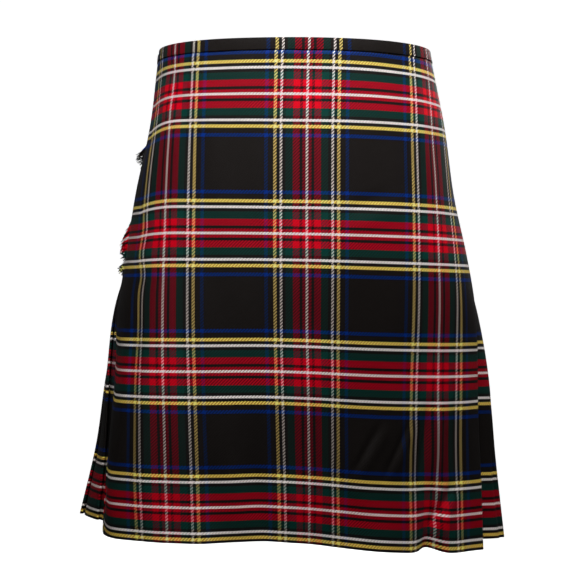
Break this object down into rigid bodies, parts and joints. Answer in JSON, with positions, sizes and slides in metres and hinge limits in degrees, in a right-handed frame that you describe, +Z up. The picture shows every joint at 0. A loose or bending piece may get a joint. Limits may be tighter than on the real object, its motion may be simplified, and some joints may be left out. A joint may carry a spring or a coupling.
{
  "type": "scottish kilt",
  "caption": "Knee-length tartan wrap skirt worn with no wearer inside: flat fringed front apron, knife-pleated sides and back, sewn waistband and leather strap closures.",
  "frame": {"origin": "middle of the waist opening, level with the top edge of the waistband", "axes": "+Z up the body, -Y the front with the over apron, +X the wearer's left"},
  "size_m": [0.5553, 0.3298, 0.6428],
  "materials": {
    "tartan": "twill weave, red, black and dark green tartan with white, yellow and blue lines",
    "band": "twill weave, the same tartan",
    "fringe": "loose twisted yarn ends",
    "leather": "satin black",
    "metal": "polished nickel"
  },
  "bodies": {
    "root": {"over_apron": "tartan", "under_apron": "tartan", "pleats_left_side": "tartan", "pleats_left_back": "tartan", "pleats_centre_back": "tartan", "pleats_right_back": "tartan", "pleats_right_side": "tartan", "waistband_front": "band", "waistband_back": "band", "waistband_under": "band", "fringe": "fringe", "strap_right": "leather", "strap_left": "leather", "buckle_tab_right": "leather", "buckle_tab_left": "leather", "buckle_right": "metal", "buckle_left": "metal", "prong_right": "metal", "prong_left": "metal"}
  },
  "joints": []
}
